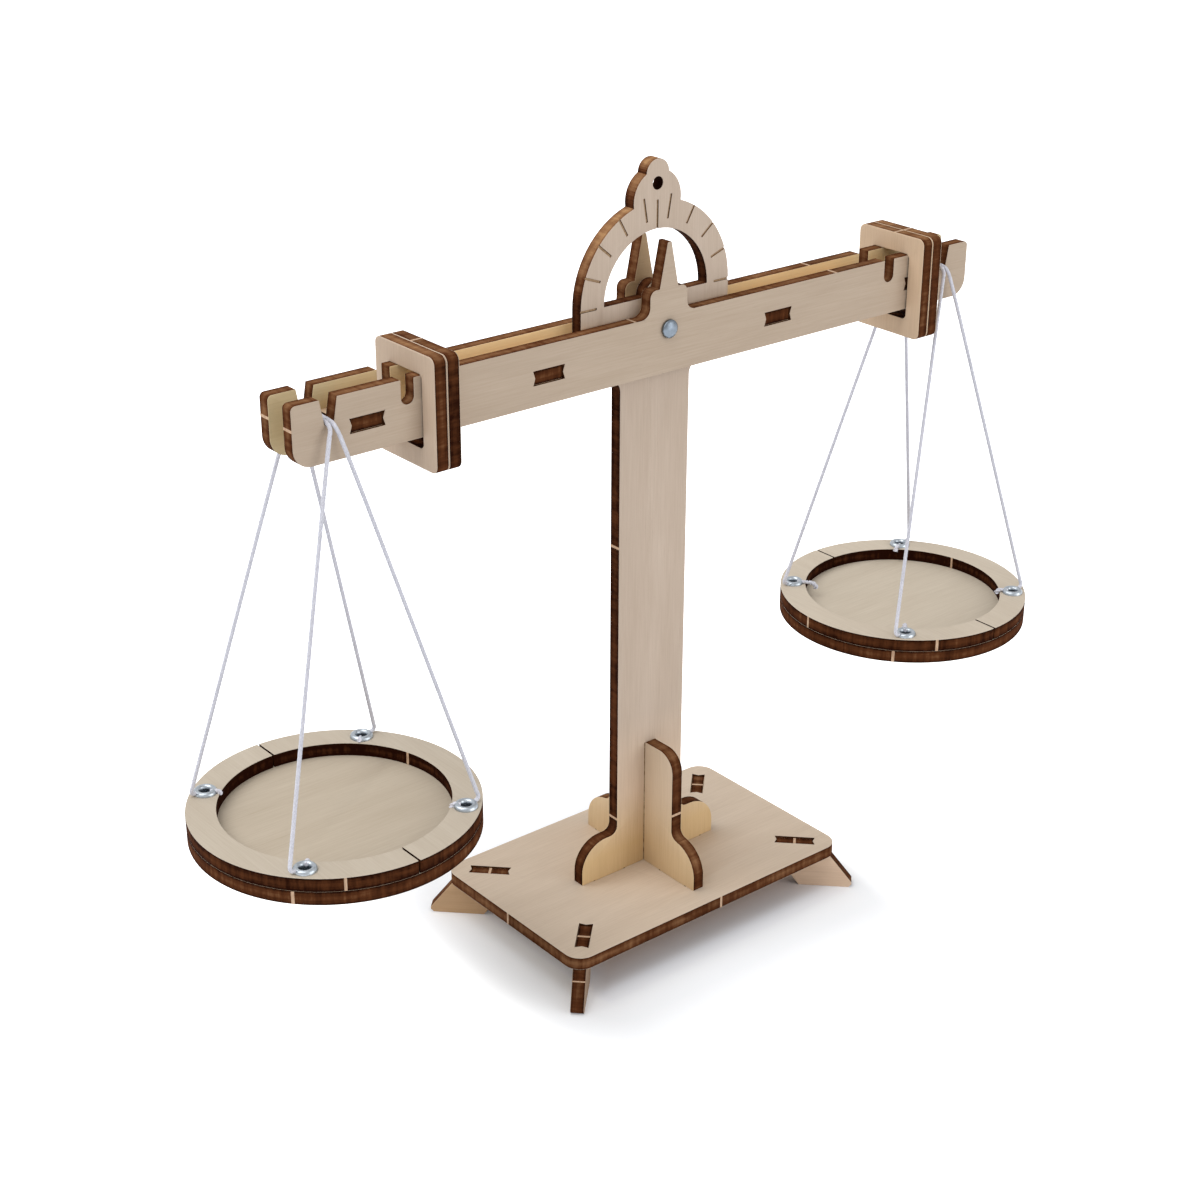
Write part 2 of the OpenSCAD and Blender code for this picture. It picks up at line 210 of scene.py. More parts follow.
birch = {
    "grain": [(0.16, (0.640, 0.525, 0.430)), (0.84, (0.480, 0.372, 0.285))],
    "fleck": (0.330, 0.225, 0.150), "flecks": [(0.64, 0.0), (0.78, 0.22)],
    # patterns: scale along, across and through the board, then detail and distortion
    "fibre": ((90, 3000, 0), 4, 0.3), "cloud": ((22, 170, 0), 3, 0.5), "figure": ((9, 75, 0), 2, 1.0),
    "pore": ((380, 4200, 0), 2),
    "fibreShare": 0.55, "cloudShare": 0.42, "ringShare": 0.018, "ringTurns": 36,
    # painted light towards the column's foot, brighter where the rib shades it and warmer, and the heights over which
    # each one comes in
    "unstained": (1.0, 1.0, 1.0),
    "midPaintedLight": (1.27, 1.22, 1.14), "midHeights": (0.050, 0.031),
    "lowPaintedLight": (1.22, 1.08, 0.72), "lowHeights": (0.031, 0.017),
    # painted light between the beam's plates, where the gap lies in shade: in the middle, towards the ends, and painted
    # shade on the pointers behind the column's head
    "inside": (1.46, 1.34, 0.94), "insideEnds": (1.05, 1.05, 0.79), "insidePointers": (0.75, 0.64, 0.46),
    "endsFrom": (0.055, 0.080), "pointerHeights": (0.1437, 0.1490),
    "surface": {"Roughness": 0.62, "Specular IOR Level": 0.2}, "bump": (0.00003, 0.3),
}


def birchFace():  # raw plywood face, its grain along the board's own length
    material, nodes, links, shader = startMaterial("birchFace")
    place = readBoard(nodes, "boardPlace")["Vector"]  # x along the grain, y across it, z from -1 to 1 through the board
    patterns = [noiseOf(nodes, links, place, *birch[key]) for key in ("fibre", "cloud", "figure", "pore")]
    fibre, cloud, figure, pore = patterns
    rings = math2(nodes, links, "SINE", share(nodes, links, figure, birch["ringTurns"]), 0)
    tone = total(nodes, links, share(nodes, links, fibre, birch["fibreShare"]),
                 share(nodes, links, cloud, birch["cloudShare"]), share(nodes, links, rings, birch["ringShare"]))
    flecks = ramp(nodes, links, pore, birch["flecks"])
    wood = mixColors(nodes, links, "MIX", flecks, ramp(nodes, links, tone, birch["grain"]), birch["fleck"])
    spot = splitPlace(nodes, links, objectPlace(nodes))
    # painted light: column and rib brighter and warmer towards their foot, where the rib shades them
    nearMid = between(nodes, links, spot["Z"], *birch["midHeights"])
    nearFoot = between(nodes, links, spot["Z"], *birch["lowHeights"])
    stain = mixColors(nodes, links, "MIX", nearMid, birch["unstained"], birch["midPaintedLight"])
    stain = mixColors(nodes, links, "MIX", nearFoot, stain, birch["lowPaintedLight"])
    stain = mixColors(nodes, links, "MIX", readBoard(nodes, "boardLow")["Fac"], birch["unstained"], stain)
    # painted light on the faces between the beam's plates, and painted shade on the pointers
    nearEnds = between(nodes, links, math2(nodes, links, "ABSOLUTE", spot["X"], 0), *birch["endsFrom"])
    onPointers = between(nodes, links, spot["Z"], *birch["pointerHeights"])
    paintedGapLight = mixColors(nodes, links, "MIX", nearEnds, birch["inside"], birch["insideEnds"])
    paintedGapLight = mixColors(nodes, links, "MIX", onPointers, paintedGapLight, birch["insidePointers"])
    tint = readBoard(nodes, "boardTone")["Color"]
    tint = mixColors(nodes, links, "MIX", readBoard(nodes, "boardInside")["Fac"], tint, paintedGapLight)
    tint = mixColors(nodes, links, "MULTIPLY", 1, tint, stain)
    links.new(mixColors(nodes, links, "MULTIPLY", 1, wood, tint), shader.inputs["Base Color"])
    setSurface(nodes, links, shader, birch, fibre)
    return material


burn = {
    "colors": [(0.08, (0.018, 0.004, 0.0015)), (0.42, (0.095, 0.031, 0.011)),
               (0.80, (0.275, 0.138, 0.064)), (1.0, (0.46, 0.26, 0.12))],
    # how much paler, from the middle ply out to the face
    "plies": [(0.0, 0.33), (0.30, 0.30), (0.38, 0.20), (0.46, 0.27), (0.66, 0.20), (0.90, 0.0)],
    "streak": ((800, 800, 0), 3), "fine": ((2600, 2600, 1.4), 2), "patch": ((110, 110, 0.5), 3, 0.5),
    "plyWobble": 0.35, "wobbleFrom": 0.5, "streakFrom": 0.19,
    "streakShare": 0.55, "patchShare": 0.65, "fineShare": 0.20, "burntShare": 0.60,
    "surface": {"Roughness": 0.85, "Specular IOR Level": 0.02}, "bump": (0.00006, 0.5),
}


def charredEdge():  # laser-cut edge, burnt most at the faces and least in the middle ply
    material, nodes, links, shader = startMaterial("charredEdge")
    place = readBoard(nodes, "boardPlace")["Vector"]
    burnt = readBoard(nodes, "boardTone")["Alpha"]  # how burnt the board's edges are, with painted light on upward-facing ones and painted shade in the knob hole
    streak, fine, patch = (noiseOf(nodes, links, place, *burn[key]) for key in ("streak", "fine", "patch"))
    depth = math2(nodes, links, "ABSOLUTE", splitPlace(nodes, links, place)["Z"], 0)
    wobble = share(nodes, links, total(nodes, links, patch, -burn["wobbleFrom"]), burn["plyWobble"])
    ply = ramp(nodes, links, total(nodes, links, depth, wobble), burn["plies"])
    streaks = share(nodes, links, total(nodes, links, streak, -burn["streakFrom"]), burn["streakShare"])
    heat = total(nodes, links, streaks, share(nodes, links, patch, burn["patchShare"]),
                 share(nodes, links, fine, burn["fineShare"]), ply, share(nodes, links, burnt, -burn["burntShare"]))
    links.new(ramp(nodes, links, heat, burn["colors"]), shader.inputs["Base Color"])
    setSurface(nodes, links, shader, burn, streak)
    return material


spotPlans = {
    "tornTab": {  # where a board was snapped from its sheet: bare, unburnt wood
        "grain": ((2600, 2600, 900), 3), "colors": [(0.3, (0.42, 0.25, 0.15)), (0.7, (0.64, 0.45, 0.30))],
        "surface": {"Roughness": 0.8}, "bump": (0.00008, 0.6),
    },
    "engravedLine": {  # a scale mark, scorched into the face
        "grain": ((2200, 2200, 2200), 3), "colors": [(0.3, (0.27, 0.16, 0.08)), (0.7, (0.46, 0.31, 0.18))],
        "surface": {"Roughness": 0.8},
    },
    "paintedSeamShade": {  # painted shade where column and rib meet each other and the base
        "grain": ((900, 900, 900), 3), "colors": [(0.35, (0.150, 0.088, 0.045)), (0.65, (0.400, 0.285, 0.180))],
        "surface": {"Roughness": 0.9, "Specular IOR Level": 0.05},
    },
}


def spotFinish(name):
    plan = spotPlans[name]
    material, nodes, links, shader = startMaterial(name)
    grain = noiseOf(nodes, links, objectPlace(nodes), *plan["grain"])
    links.new(ramp(nodes, links, grain, plan["colors"]), shader.inputs["Base Color"])
    setSurface(nodes, links, shader, plan, grain)
    return material


plating = {
    "rivetMetal": ((0.18, 0.212, 0.25), 0.25), "eyeletMetal": ((0.42, 0.46, 0.50), 0.24),  # colour, roughness
    "scuff": ((1400, 1400, 1400), 4, 0.6), "darkFrom": (0.35, 0.75), "darkShare": 0.80,
    "roughFrom": (0.3, 0.8), "roughMore": 0.18,
    "surface": {"Metallic": 1}, "bump": (0.00002, 0.25),
}


def platedMetal(name):
    color, roughness = plating[name]
    material, nodes, links, shader = startMaterial(name)
    scuff = noiseOf(nodes, links, objectPlace(nodes), *plating["scuff"])
    dark, rough = tuple(plating["darkShare"] * c for c in color), roughness + plating["roughMore"]
    tones = ramp(nodes, links, scuff, list(zip(plating["darkFrom"], (color, dark))))
    wear = ramp(nodes, links, scuff, list(zip(plating["roughFrom"], (roughness, rough))))
    links.new(tones, shader.inputs["Base Color"])
    links.new(wear, shader.inputs["Roughness"])
    setSurface(nodes, links, shader, plating, scuff)
    return material


yarn = {
    "fluff": ((5200, 5200, 2600), 3), "fluffColors": [(0.25, (0.56, 0.56, 0.63)), (0.70, (0.80, 0.80, 0.87))],
    "soft": ((300, 300, 300), 2), "softTones": [(0.3, 0.75), (0.7, 1.0)], "softShare": 0.25,
    "surface": {"Roughness": 0.85, "Sheen Weight": 0.25, "Sheen Roughness": 0.5}, "bump": (0.00008, 0.6),
}


def twistedThread():
    material, nodes, links, shader = startMaterial("twistedThread")
    place = objectPlace(nodes)
    fluff, soft = (noiseOf(nodes, links, place, *yarn[key]) for key in ("fluff", "soft"))
    color = mixColors(nodes, links, "MULTIPLY", yarn["softShare"], ramp(nodes, links, fluff, yarn["fluffColors"]),
                      ramp(nodes, links, soft, yarn["softTones"]))
    links.new(color, shader.inputs["Base Color"])
    setSurface(nodes, links, shader, yarn, fluff)
    return material


finish = {
    "face": birchFace(), "edge": charredEdge(),
    "torn": spotFinish("tornTab"), "mark": spotFinish("engravedLine"), "seam": spotFinish("paintedSeamShade"),
    "rivet": platedMetal("rivetMetal"), "eyelet": platedMetal("eyeletMetal"), "thread": twistedThread(),
}
print("materials made")


# strings: the route of part.scad in metres, from a front eyelet up to the hang notch

stringPlan = {
    "hangX": 0.0829, "hangZ": 0.13935, "eyeletReach": 0.019, "eyeletZ": 0.05635, "diameter": 0.0009,
    "half": [(-0.0212, -0.019, -0.0825), (-0.0219, -0.01895, -0.0823), (-0.0222, -0.01885, -0.0816),
             (-0.022, -0.0187, -0.0808), (-0.0011, -0.00705, -0.0026), (-0.00075, -0.00685, -0.0016),
             (-0.00055, -0.0063, -0.0008), (-0.0005, -0.00555, -0.0004)],
    "step": 0.00026, "fewest": 4,  # along the route, and how many from one of its points to the next
    "strands": 3, "twist": 0.0026, "lobe": 0.10, "lobeShape": 0.8, "around": 15, "smooth": 60,
}


def roundRoute(points, step):  # a curve through the points, cut into even steps
    ends = [2 * points[0] - points[1], *points, 2 * points[-1] - points[-2]]
    fine = [points[0]]
    for a, b, c, d in zip(ends, ends[1:], ends[2:], ends[3:]):
        t1 = (b - a).length ** 0.5
        t2 = t1 + (c - b).length ** 0.5
        t3 = t2 + (d - c).length ** 0.5
        count = max(stringPlan["fewest"], int((c - b).length / step))
        for k in range(1, count + 1):
            t = t1 + (t2 - t1) * k / count
            ab = a * ((t1 - t) / t1) + b * (t / t1)
            bc = b * ((t2 - t) / (t2 - t1)) + c * ((t - t1) / (t2 - t1))
            cd = c * ((t3 - t) / (t3 - t2)) + d * ((t - t2) / (t3 - t2))
            abc = ab * ((t2 - t) / t2) + bc * (t / t2)
            bcd = bc * ((t3 - t) / (t3 - t1)) + cd * ((t - t1) / (t3 - t1))
            fine.append(abc * ((t2 - t) / (t2 - t1)) + bcd * ((t - t1) / (t2 - t1)))
    return fine


def routeLength(points):
    return sum((b - a).length for a, b in zip(points, points[1:]))


def threadPiece(name, points, radius, fray=0.0):  # three twisted strands swept along the points
    around, lobe = stringPlan["around"], stringPlan["lobe"]
    rings, along, normal = [], 0.0, None
    last = len(points) - 1
    for i, point in enumerate(points):
        heading = (points[min(i + 1, last)] - points[max(i - 1, 0)]).normalized()
        if normal is None:
            normal = heading.orthogonal()
        else:
            along += (point - points[i - 1]).length
        normal = (normal - heading * normal.dot(heading)).normalized()
        cross = heading.cross(normal)
        spread = fray * (i / last) ** 2
        for k in range(around):
            angle = 2 * math.pi * k / around
            strand = abs(math.cos(stringPlan["strands"] / 2 * angle))
            swell = 1 - lobe + lobe * strand ** stringPlan["lobeShape"] + spread * (strand - tailPlan["frayFrom"])
            turned = angle + 2 * math.pi * along / stringPlan["twist"]
            rings.append(point + radius * swell * (math.cos(turned) * normal + math.sin(turned) * cross))
    faces = [(i * around + k, i * around + (k + 1) % around, (i + 1) * around + (k + 1) % around, (i + 1) * around + k)
             for i in range(last) for k in range(around)]
    faces.append(tuple(reversed(range(around))))
    faces.append(tuple(last * around + k for k in range(around)))
    piece = meshPiece(name, rings, faces)
    piece.data.materials.append(finish["thread"])
    takeUp(piece)
    bpy.ops.object.shade_smooth_by_angle(angle=math.radians(stringPlan["smooth"]))
    return piece


tailPlan = {  # from under the flange towards the pan's middle, over the rim's inner edge
    "steps": [(0.0012, 0.00045), (0.0024, 0.0005), (0.0034, 0.0005), (0.0043, 0.0001), (0.0047, -0.0010)],
    "start": 0.00105, "lift": 0.00045, "tipLift": 0.0002, "sway": 0.25, "seed": 7,
    "radius": 0.00040, "step": 0.0002, "fray": 1.3, "frayFrom": 0.35,
    "length": {  # next to the steps, at the front and the back
        "left": {"outer": (0.40, 0.45), "inner": (0.40, 0.30)},
        "right": {"outer": (0.6, 0.6), "inner": (0.8, 1.0)},
    },
}


def eyeletSpot(side, sx, sy):  # the middle of an eyelet's flange, on top of the rim
    reach = stringPlan["eyeletReach"]
    return Vector((side * stringPlan["hangX"] + sx * reach, sy * reach, stringPlan["eyeletZ"]))


def panTail(name, eyelet, sx, sy, reach, seed):
    chance = random.Random(seed)
    inward = Vector((-sx, -sy, 0)).normalized()
    across = Vector((-inward.y, inward.x, 0))
    sway = chance.uniform(-tailPlan["sway"], tailPlan["sway"])
    points = [eyelet + inward * tailPlan["start"] + Vector((0, 0, tailPlan["lift"]))]
    for run, rise in tailPlan["steps"]:
        spot = eyelet + inward * (tailPlan["start"] + run * reach)
        spot += across * run * sway + Vector((0, 0, rise if rise > 0 else rise * reach + tailPlan["tipLift"]))
        points.append(spot)
    return threadPiece(name, roundRoute(points, tailPlan["step"]), tailPlan["radius"], tailPlan["fray"])


def layTails(sideName, side, edge, away):
    tails = []
    for number, (end, sy) in enumerate((("Front", -1), ("Back", 1))):
        name = f"{sideName}Tail{end}{edge.capitalize()}"
        seed = len(name) * tailPlan["seed"] + number
        tail = panTail(name, eyeletSpot(side, away, sy), away, sy, tailPlan["length"][sideName][edge][number], seed)
        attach(tail, f"{sideName}_pan")
        tails.append(tail)
    return tails


def layStrings():
    for sideName, side in (("left", -1), ("right", 1)):
        for edge, away in (("outer", side), ("inner", -side)):
            # away is -1 for the string at smaller X, as in part.scad
            half = [Vector((-away * x, y, z)) for x, y, z in stringPlan["half"]]
            whole = half + [Vector((p.x, -p.y, p.z)) for p in reversed(half)]
            hang = Vector((side * stringPlan["hangX"], 0, stringPlan["hangZ"]))
            points = roundRoute([hang + p for p in whole], stringPlan["step"])
            piece = threadPiece(f"{sideName}String{edge.capitalize()}", points, stringPlan["diameter"] / 2)
            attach(piece, f"{sideName}_pan")
            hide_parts(f"{sideName}_string_{edge}")
            tails = layTails(sideName, side, edge, away)
            print(piece.name, "is", round(routeLength(points) * 1000, 1), "mm long")


layStrings()
print("strings laid")


# plywood boards: each CAD board copied, its faces and burnt edges told apart

diagonalA = Vector((1, 1, 0)).normalized()
diagonalB = Vector((1, -1, 0)).normalized()
axisX, axisY, axisZ = Vector((1, 0, 0)), Vector((0, 1, 0)), Vector((0, 0, 1))

boardPlan = {  # node: body, direction through the board, grain direction, tint, how burnt, share of the painted light near the foot
    "base_plate": ("stand", axisZ, axisX, (1.05, 1.065, 1.035), 0.56, 0),
    # this foot's dark tint is painted shade on its side face
    "foot_front_left": ("stand", diagonalB, diagonalA, (0.52, 0.44, 0.37), 0.78, 0),
    "foot_back_right": ("stand", diagonalB, diagonalA, (1.03, 0.85, 0.60), 0.72, 0),
    "foot_front_right": ("stand", diagonalA, diagonalB, (1.13, 1.02, 0.91), 0.85, 0),
    "foot_back_left": ("stand", diagonalA, diagonalB, (0.99, 0.80, 0.57), 0.70, 0),
    "column_board": ("stand", axisY, axisZ, (0.95, 0.945, 0.935), 1.06, 1.0),
    "column_rib": ("stand", axisX, axisZ, (0.98, 0.965, 0.89), 0.76, 0.6),
    "beam_front_plate": ("beam", axisY, axisX, (0.845, 0.83, 0.785), 0.64, 0),
    "beam_back_plate": ("beam", axisY, axisX, (0.845, 0.83, 0.785), 0.64, 0),
    "spacer_left_outer": ("beam", axisZ, axisX, (1.0, 0.9, 0.75), 0.92, 0),
    "spacer_left_inner": ("beam", axisZ, axisX, (1.0, 0.9, 0.75), 0.92, 0),
    "spacer_right_inner": ("beam", axisZ, axisX, (1.0, 0.9, 0.75), 0.92, 0),
    "spacer_right_outer": ("beam", axisZ, axisX, (1.0, 0.9, 0.75), 0.92, 0),
    "rider_left_outer_plate": ("left_rider", axisX, axisZ, (0.97, 0.935, 0.88), 0.70, 0),
    "rider_left_inner_plate": ("left_rider", axisX, axisZ, (0.97, 0.935, 0.88), 0.84, 0),
    "rider_right_outer_plate": ("right_rider", axisX, axisZ, (1.07, 0.98, 0.84), 0.64, 0),
    "rider_right_inner_plate": ("right_rider", axisX, axisZ, (1.07, 0.98, 0.84), 0.64, 0),
    "left_pan_disc": ("left_pan", axisZ, axisX, (0.87, 0.92, 0.89), 0.86, 0),
    "left_pan_rim_outer": ("left_pan", axisZ, axisY, (0.90, 0.97, 0.97), 1.05, 0),
    "left_pan_rim_inner": ("left_pan", axisZ, axisY, (0.90, 0.97, 0.97), 1.05, 0),
    "right_pan_disc": ("right_pan", axisZ, axisX, (1.03, 1.11, 1.10), 0.86, 0),
    "right_pan_rim_outer": ("right_pan", axisZ, axisY, (1.06, 1.14, 1.14), 1.00, 0),
    "right_pan_rim_inner": ("right_pan", axisZ, axisY, (1.06, 1.14, 1.14), 1.00, 0),
}
edgePlan = {
    "merge": 0.000002, "flat": 0.5, "smooth": 25,  # metres, degrees, degrees
    "bevel": 0.00009, "riderBevel": 0.00018, "bevelAngle": 40, "bevelSteps": 2,
    # which way a face looks, 1 straight out of the board, and where it lies, 1 at the board's surface
    "facing": 0.9, "atSurface": 0.97, "leaning": 0.3, "atShoulder": 0.85, "sideways": 0.2,
    "innerSide": 0.0005,  # metres, of the faces with which the beam's plates look at each other
    "markWidth": 0.0006, "markStand": 0.00006, "markNear": 0.00025, "markPast": 0.001,
    "riderMiddle": 0.13635, "windowHalf": (0.006, 0.008), "windowRound": 0.0009, "windowSteps": 5,
    "cornerLong": 0.002, "cornerStraight": 0.0001,
    "knobHole": (0, 0, 0.1703), "knobHoleNear": 0.0018, "knobHoleShrink": 0.86,
    "jointNear": 0.0002, "jointMore": 0.0001, "ringInside": 0.01,
    "grainShift": (0.37, 0.11),  # from one board to the next, so that no two show the same grain
    # how burnt, next to the board's own; those for upward-facing edges make them paler, as painted light from above,
    # and the knob hole's walls darker, as painted shade
    "frontMore": 0.14, "ringMore": 0.25, "upPaintedLight": 0.30, "headUpPaintedLight": 1.45, "holePaintedShade": 0.5, "headFrom": 0.150,
    "windowMore": 0.50, "riderSideMore": 0.18, "riderTopPaintedLight": 0.32, "topPaintedLight": 0.12,
}
boardSlots = {key: number for number, key in enumerate(("face", "edge", "torn", "mark", "seam"))}

markPlan = {
    "footTab": (0.032, 0.0173, 0.0109),  # the middle of its top
    "outer": 0.030, "inner": 0.0238, "rim": 0.05485, "disc": 0.05185,  # a pan's walls, and its boards' middle heights
}


def ringMark(side, wall, angle, board):  # on a pan
    turn, radius = math.radians(angle), markPlan[wall]
    spot = (side * stringPlan["hangX"] + radius * math.cos(turn), radius * math.sin(turn), markPlan[board])
    return spot, (-math.sin(turn), math.cos(turn), 0)


def slotMark(sx, sy):  # on the top of a foot's tab
    x, y, z = markPlan["footTab"]
    return (sx * x, sy * y, z), (sx, sy, 0)


tabMarks = {  # node: where it was snapped from its sheet, the way its edge runs there, and a width of its own
    "base_plate": [((-0.0397, 0.0002, 0.0098), axisY), ((0.0020, -0.0246, 0.0098), axisX),
                   ((0.0397, -0.0040, 0.0098), axisY), ((-0.0060, 0.0246, 0.0098), axisX)],
    "column_board": [((-0.0095, 0, 0.0250), axisZ), ((-0.0095, 0, 0.0922), axisZ),
                     ((0.0095, 0, 0.0310), axisZ), ((0.0095, 0, 0.0880), axisZ)],
    "column_rib": [((0, -0.0110, 0.0272), axisZ), ((0, 0.0110, 0.0272), axisZ)],
    "beam_front_plate": [((-0.0910, -0.0040, 0.1389), axisZ), ((-0.0090, -0.0040, 0.1437), axisX),
                         ((0.0486, -0.0040, 0.1437), axisX), ((0.0910, -0.0040, 0.1389), axisZ)],
    "beam_back_plate": [((-0.0910, 0.0040, 0.1393), axisZ), ((0.0480, 0.0040, 0.1437), axisX),
                        ((0.0910, 0.0040, 0.1393), axisZ), ((-0.0400, 0.0040, 0.1312), axisX)],
    "foot_front_left": [slotMark(-1, -1), ((-0.03921, -0.02451, 0.0061), (-3.818, -3.818, -7.0), 0.00028)],
    "foot_front_right": [slotMark(1, -1)], "foot_back_left": [slotMark(-1, 1)], "foot_back_right": [slotMark(1, 1)],
    "rider_right_outer_plate": [((0.0758, -0.0009, 0.14805), axisY)],
    "rider_right_inner_plate": [((0.0728, -0.0009, 0.14805), axisY)],
    "rider_left_inner_plate": [((-0.0577, 0.0020, 0.14805), axisY)],
    "left_pan_rim_outer": [ringMark(-1, "outer", -119, "rim"), ringMark(-1, "outer", 150, "rim")],
    "left_pan_disc": [ringMark(-1, "outer", -138.8, "disc"), ringMark(-1, "outer", 40, "disc")],
    "left_pan_rim_inner": [ringMark(-1, "inner", 17.3, "rim"), ringMark(-1, "outer", 62, "rim")],
    "right_pan_rim_inner": [ringMark(1, "outer", 175.4, "rim"), ringMark(1, "outer", -120.6, "rim")],
    "right_pan_disc": [ringMark(1, "outer", -140, "disc"), ringMark(1, "outer", 35, "disc")],
    "right_pan_rim_outer": [ringMark(1, "inner", 11.4, "rim"), ringMark(1, "outer", 70, "rim")],
}


def facesAt(mesh, through, spot, run):  # edge faces that hold this spot
    found = []
    for face in mesh.polygons:
        apart = abs(face.normal.dot(spot - face.center))
        if abs(face.normal.dot(through)) > edgePlan["sideways"] or apart > edgePlan["markNear"]:
            continue
        spans = [mesh.vertices[v].co.dot(run) for v in face.vertices]
        if min(spans) - edgePlan["markPast"] < spot.dot(run) < max(spans) + edgePlan["markPast"]:
            found.append(face)
    return found


def selectFaces(mesh, chosen):
    for group in (mesh.vertices, mesh.edges, mesh.polygons):
        for part in group:
            part.select = False
    for face in chosen:
        face.select = True
        for v in face.vertices:
            mesh.vertices[v].select = True
    keys = {tuple(sorted(key)) for face in chosen for key in face.edge_keys}
    for edge in mesh.edges:
        edge.select = tuple(sorted(edge.key)) in keys


def cutFaces(piece, chosen, spot, normal):
    selectFaces(piece.data, chosen)
    takeUp(piece)
    bpy.ops.object.mode_set(mode="EDIT")
    bpy.ops.mesh.select_mode(type="FACE")
    bpy.ops.mesh.bisect(plane_co=spot, plane_no=normal)
    bpy.ops.object.mode_set(mode="OBJECT")


def snapMark(piece, through, spot, run, width=edgePlan["markWidth"]):
    spot, run = Vector(spot), Vector(run).normalized()
    half = width / 2
    for shift in (-half, half):
        cutFaces(piece, facesAt(piece.data, through, spot, run), spot + run * shift, run)
    strip = [face for face in facesAt(piece.data, through, spot, run) if abs((face.center - spot).dot(run)) < half]
    if not strip:
        print("no edge for a mark on", piece.name)
        return
    outward = sum((face.normal * face.area for face in strip), Vector()).normalized()
    selectFaces(piece.data, strip)
    for face in strip:
        face.material_index = boardSlots["torn"]
    bpy.ops.object.mode_set(mode="EDIT")
    bpy.ops.mesh.extrude_region_move(TRANSFORM_OT_translate={"value": outward * edgePlan["markStand"]})
    bpy.ops.object.mode_set(mode="OBJECT")


seamPlan = {"width": 0.00016, "foot": 0.0113, "top": 0.0423, "half": 0.0015, "gap": 0.00005, "facing": 0.95}


def paintSeamShade(piece, through):  # thin lines of painted shade where column and rib meet each other and the base
    plan, across = seamPlan, through.cross(axisZ)
    outer, footTop = plan["half"] + plan["gap"] + plan["width"], plan["foot"] + plan["width"]
    for spot, normal in ((axisZ * footTop, axisZ), (axisZ * plan["foot"], axisZ), (axisZ * plan["top"], axisZ),
                         (across * outer, across), (across * -outer, across)):
        chosen = [face for face in piece.data.polygons if abs(face.normal.dot(through)) > plan["facing"]]
        cutFaces(piece, chosen, spot, normal)
    for face in piece.data.polygons:
        if abs(face.normal.dot(through)) < plan["facing"]:
            continue
        side, level = abs(face.center.dot(across)), face.center.z
        atFoot = plan["foot"] < level < footTop
        atLap = side < outer and plan["foot"] < level < plan["top"]
        if atFoot or atLap:
            face.material_index = boardSlots["seam"]


def inWindow(spot):  # of a rider
    halfY, halfZ = edgePlan["windowHalf"]
    return abs(spot.y) < halfY and abs(spot.z - edgePlan["riderMiddle"]) < halfZ


def roundWindow(piece):  # the four corners of a rider's window, which run through the plate
    mesh = piece.data
    weight = mesh.attributes.new("bevel_weight_edge", "FLOAT", "EDGE")
    for edge in mesh.edges:
        a, b = (mesh.vertices[v].co for v in edge.vertices)
        through = (a - b).length > edgePlan["cornerLong"] and (a - b).cross(axisX).length < edgePlan["cornerStraight"]
        weight.data[edge.index].value = 1 if through and inWindow(a) else 0
    corners = piece.modifiers.new("roundCorners", "BEVEL")
    corners.width, corners.segments = edgePlan["windowRound"], edgePlan["windowSteps"]
    corners.limit_method = "WEIGHT"
    takeUp(piece)
    bpy.ops.object.modifier_apply(modifier=corners.name)
    piece.data.attributes.remove(piece.data.attributes["bevel_weight_edge"])


def fromKnobHole(spot):
    middle = Vector(edgePlan["knobHole"])
    return math.hypot(spot.x - middle.x, spot.z - middle.z)


def narrowHole(piece):  # the knob's hole, a little smaller in the photo than as built
    middle = Vector(edgePlan["knobHole"])
    for v in piece.data.vertices:
        if fromKnobHole(v.co) < edgePlan["knobHoleNear"]:
            v.co.x = middle.x + (v.co.x - middle.x) * edgePlan["knobHoleShrink"]
            v.co.z = middle.z + (v.co.z - middle.z) * edgePlan["knobHoleShrink"]


def pastJoint(spot):  # how far past the joint between a rim's halves, away from the column
    return abs(spot.x) - stringPlan["hangX"]


def widenJoint(piece):  # the halves stand a little further apart in the photo than as built
    for v in piece.data.vertices:
        past = pastJoint(v.co)
        if abs(past) < edgePlan["jointNear"]:
            v.co.x = math.copysign(abs(v.co.x) + math.copysign(edgePlan["jointMore"], past), v.co.x)


def burntAt(node, face, burnt):  # a board's edges aren't all equally burnt; upward-facing edges are made paler as painted light from above, and the knob hole's walls darker as painted shade
    plan, up, middle = edgePlan, max(0, face.normal.z), face.center
    if node == "base_plate":
        return burnt + plan["frontMore"] * max(0, -face.normal.y)
    if "_rim_" in node:
        side = 1 if middle.x > 0 else -1
        outward = face.normal.dot(middle - Vector((side * stringPlan["hangX"], 0, middle.z)))
        return burnt + (plan["ringMore"] if outward < -plan["ringInside"] else 0)
    # the knob hole's walls darker: painted shade in the narrow hole
    if node == "column_board" and fromKnobHole(middle) < plan["knobHoleNear"]:
        return burnt + plan["holePaintedShade"]
    if node in ("column_board", "column_rib"):
        # upward-facing edges paler: painted light from above
        return burnt - (plan["headUpPaintedLight"] * up if middle.z > plan["headFrom"] else plan["upPaintedLight"] * up ** 2)
    if node.startswith("rider"):
        if inWindow(middle):
            return burnt + plan["windowMore"]
        # rider tops paler: painted light from above
        return burnt + plan["riderSideMore"] * abs(face.normal.y) - plan["riderTopPaintedLight"] * up
    # the beam's upward-facing edges paler: painted light from above
    return burnt - (plan["topPaintedLight"] * up if node.startswith("beam") else 0)


